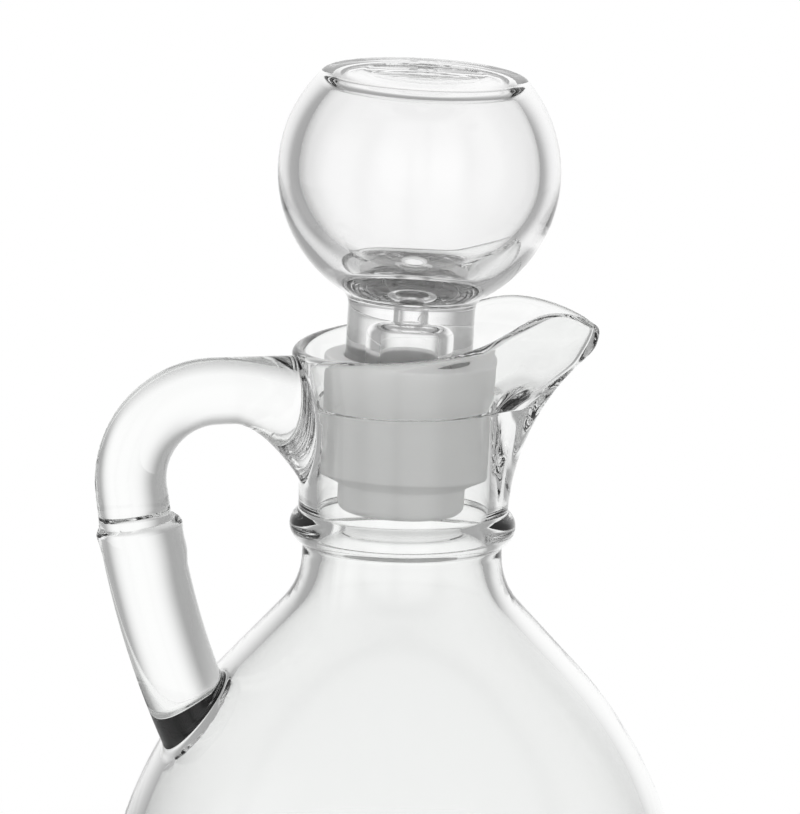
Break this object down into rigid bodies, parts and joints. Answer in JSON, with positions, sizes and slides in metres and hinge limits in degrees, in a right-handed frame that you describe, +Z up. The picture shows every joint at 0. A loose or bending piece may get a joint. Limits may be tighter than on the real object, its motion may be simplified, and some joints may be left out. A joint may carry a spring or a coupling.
{
  "type": "glass oil bottle",
  "caption": "Clear glass table cruet for oil: bulbous body, solid bar handle, pouring lip, and a hollow ball stopper in a soft frosted plug that lifts out.",
  "frame": {"origin": "on the bottle's turning axis, in the plane of the ring that it stands on", "axes": "+Z up along the bottle's axis, -Y out along the pouring lip, +Y out along the handle, +X to the right of someone facing the lip"},
  "size_m": [0.081, 0.0841, 0.1407],
  "materials": {
    "clear_glass": "clear soda-lime glass, fire polished",
    "stopper_glass": "clear soda-lime glass, fire polished",
    "frosted_plastic": "soft translucent frosted plastic"
  },
  "bodies": {
    "bottle": {"bottle": "clear_glass", "handle": "clear_glass"},
    "seal": {"stopper_seal": "frosted_plastic"},
    "stopper": {"stopper": "stopper_glass"}
  },
  "joints": [
    {"name": "stopper_lift", "type": "slide", "parent": "bottle", "child": "seal", "axis": [0, 0, 1], "range_m": [0, 0.032]},
    {"name": "shank_pull", "type": "slide", "parent": "seal", "child": "stopper", "axis": [0, -0.0383, 0.9993], "range_m": [0, 0.02]}
  ]
}
